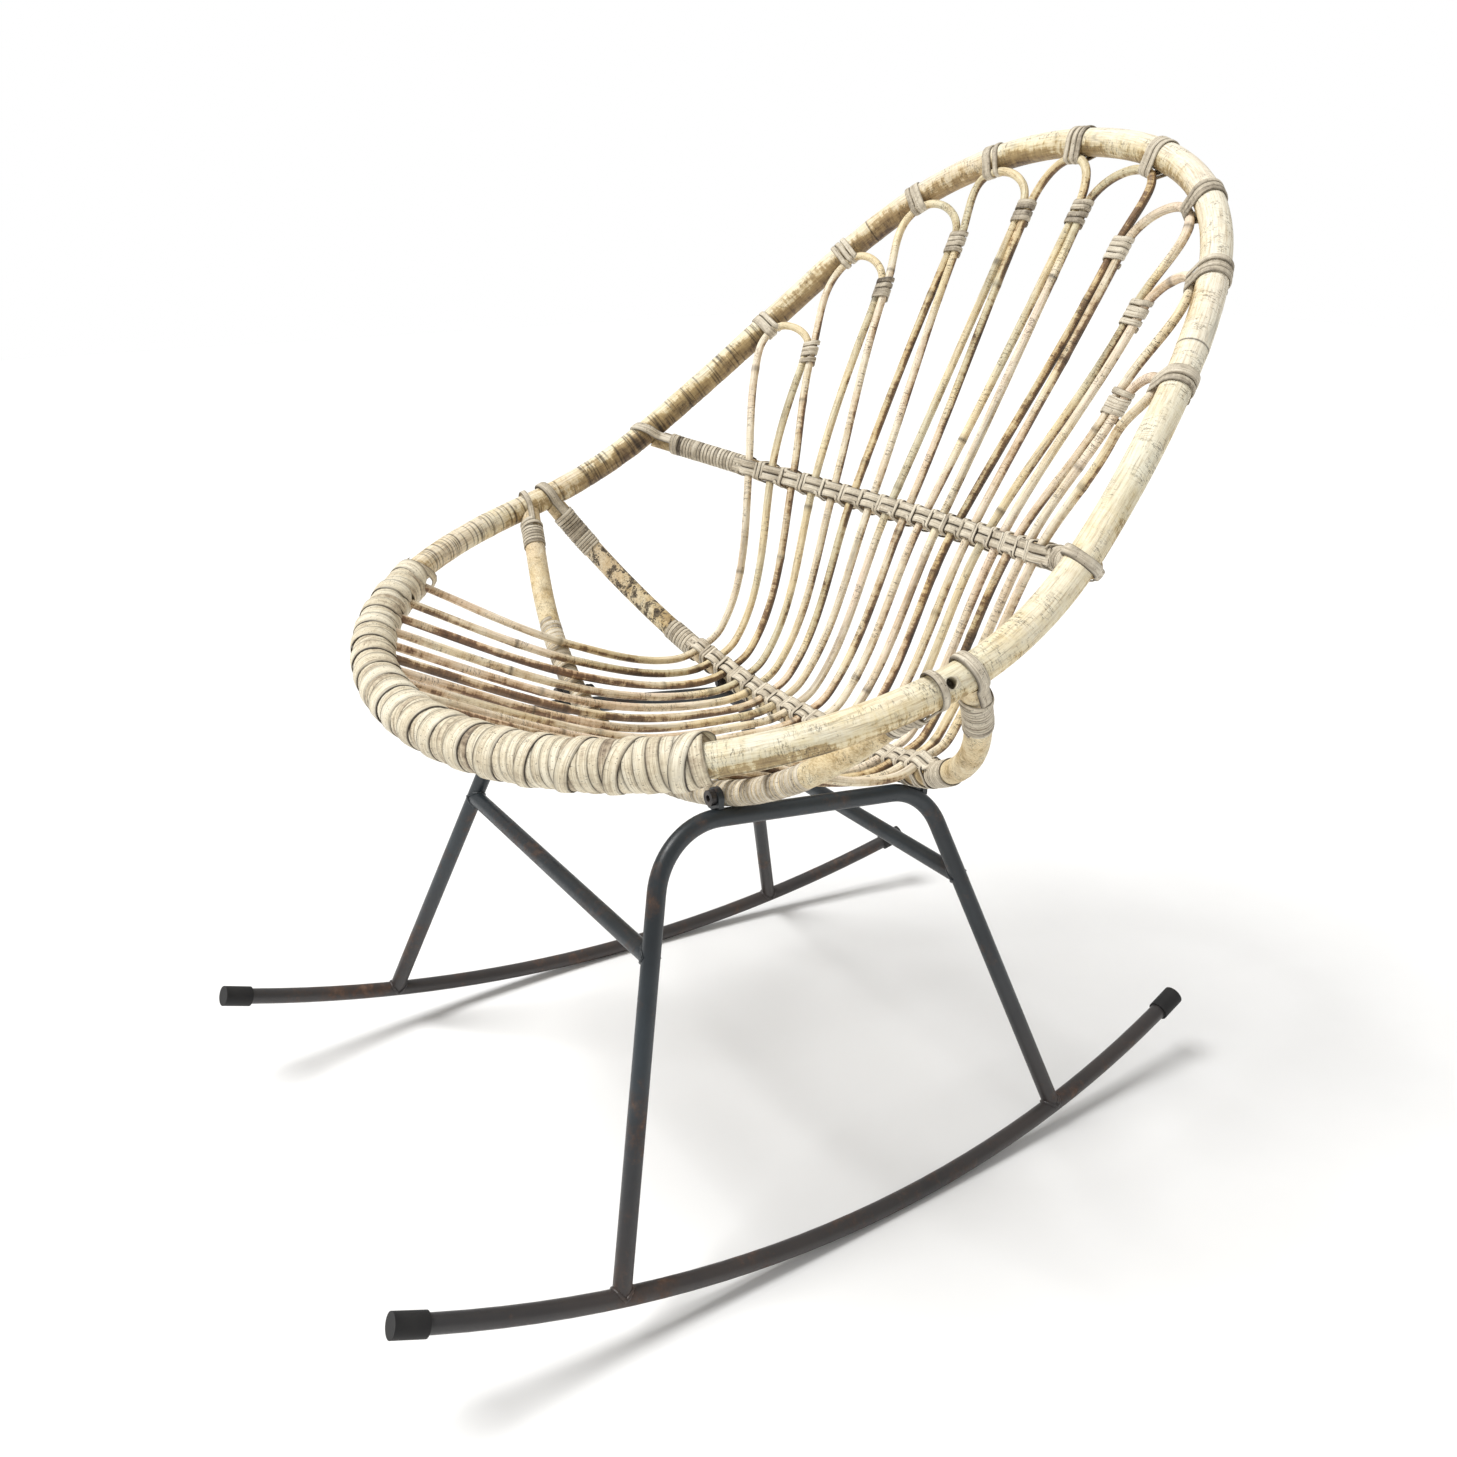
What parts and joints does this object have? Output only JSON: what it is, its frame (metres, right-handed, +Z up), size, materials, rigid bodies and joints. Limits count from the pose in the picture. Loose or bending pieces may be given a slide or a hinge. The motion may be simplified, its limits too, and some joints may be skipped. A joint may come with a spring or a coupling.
{
  "type": "rattan rocking chair",
  "caption": "Low armless rocking chair: an egg-shaped rattan rim with a dished fan of bent rods for seat and back, on a bent steel tube frame with arched rockers.",
  "frame": {"origin": "centre of the outer box's bottom, on the floor", "axes": "+X to the sitter's left, +Y to the back of the chair, +Z up; the sitter faces -Y"},
  "size_m": [0.692, 0.8238, 0.8617],
  "materials": {
    "dark_steel": "worn satin black paint with rust marks",
    "bolt_steel": "dull, darkened",
    "black_rubber": "matt",
    "rim_rattan": "bleached, satin, with dark bark cracks",
    "rail_rattan": "weathered, satin",
    "rod_rattan": "satin, with nodes and dark streaks",
    "cane": "matt, fibrous, grey-beige"
  },
  "bodies": {
    "root": {"rocker_left": "dark_steel", "rocker_right": "dark_steel", "cap_front_left": "black_rubber", "cap_front_right": "black_rubber", "cap_rear_left": "black_rubber", "cap_rear_right": "black_rubber", "side_frame_left": "dark_steel", "side_frame_right": "dark_steel", "front_stretcher": "dark_steel", "rear_stretcher": "dark_steel", "lug_front_left": "dark_steel", "lug_front_right": "dark_steel", "lug_rear_left": "dark_steel", "lug_rear_right": "dark_steel", "bolt_front_left": "bolt_steel", "bolt_front_right": "bolt_steel", "bolt_rear_left": "bolt_steel", "bolt_rear_right": "bolt_steel", "rim": "rim_rattan", "front_batten": "rail_rattan", "front_rail": "rail_rattan", "rear_rail": "rail_rattan", "back_bow": "rail_rattan", "hairpin_1": "rod_rattan", "hairpin_2": "rod_rattan", "hairpin_3": "rod_rattan", "hairpin_4": "rod_rattan", "hairpin_5": "rod_rattan", "hairpin_6": "rod_rattan", "hairpin_7": "rod_rattan", "hairpin_8": "rod_rattan", "hairpin_9": "rod_rattan", "front_binding": "cane", "loop_bindings": "cane", "pair_bindings": "cane", "rail_straps": "cane", "rail_end_windings": "cane", "rear_rail_strip": "cane", "bow_strip": "cane", "rear_rail_lashing": "cane", "bow_lashing": "cane"}
  },
  "joints": []
}
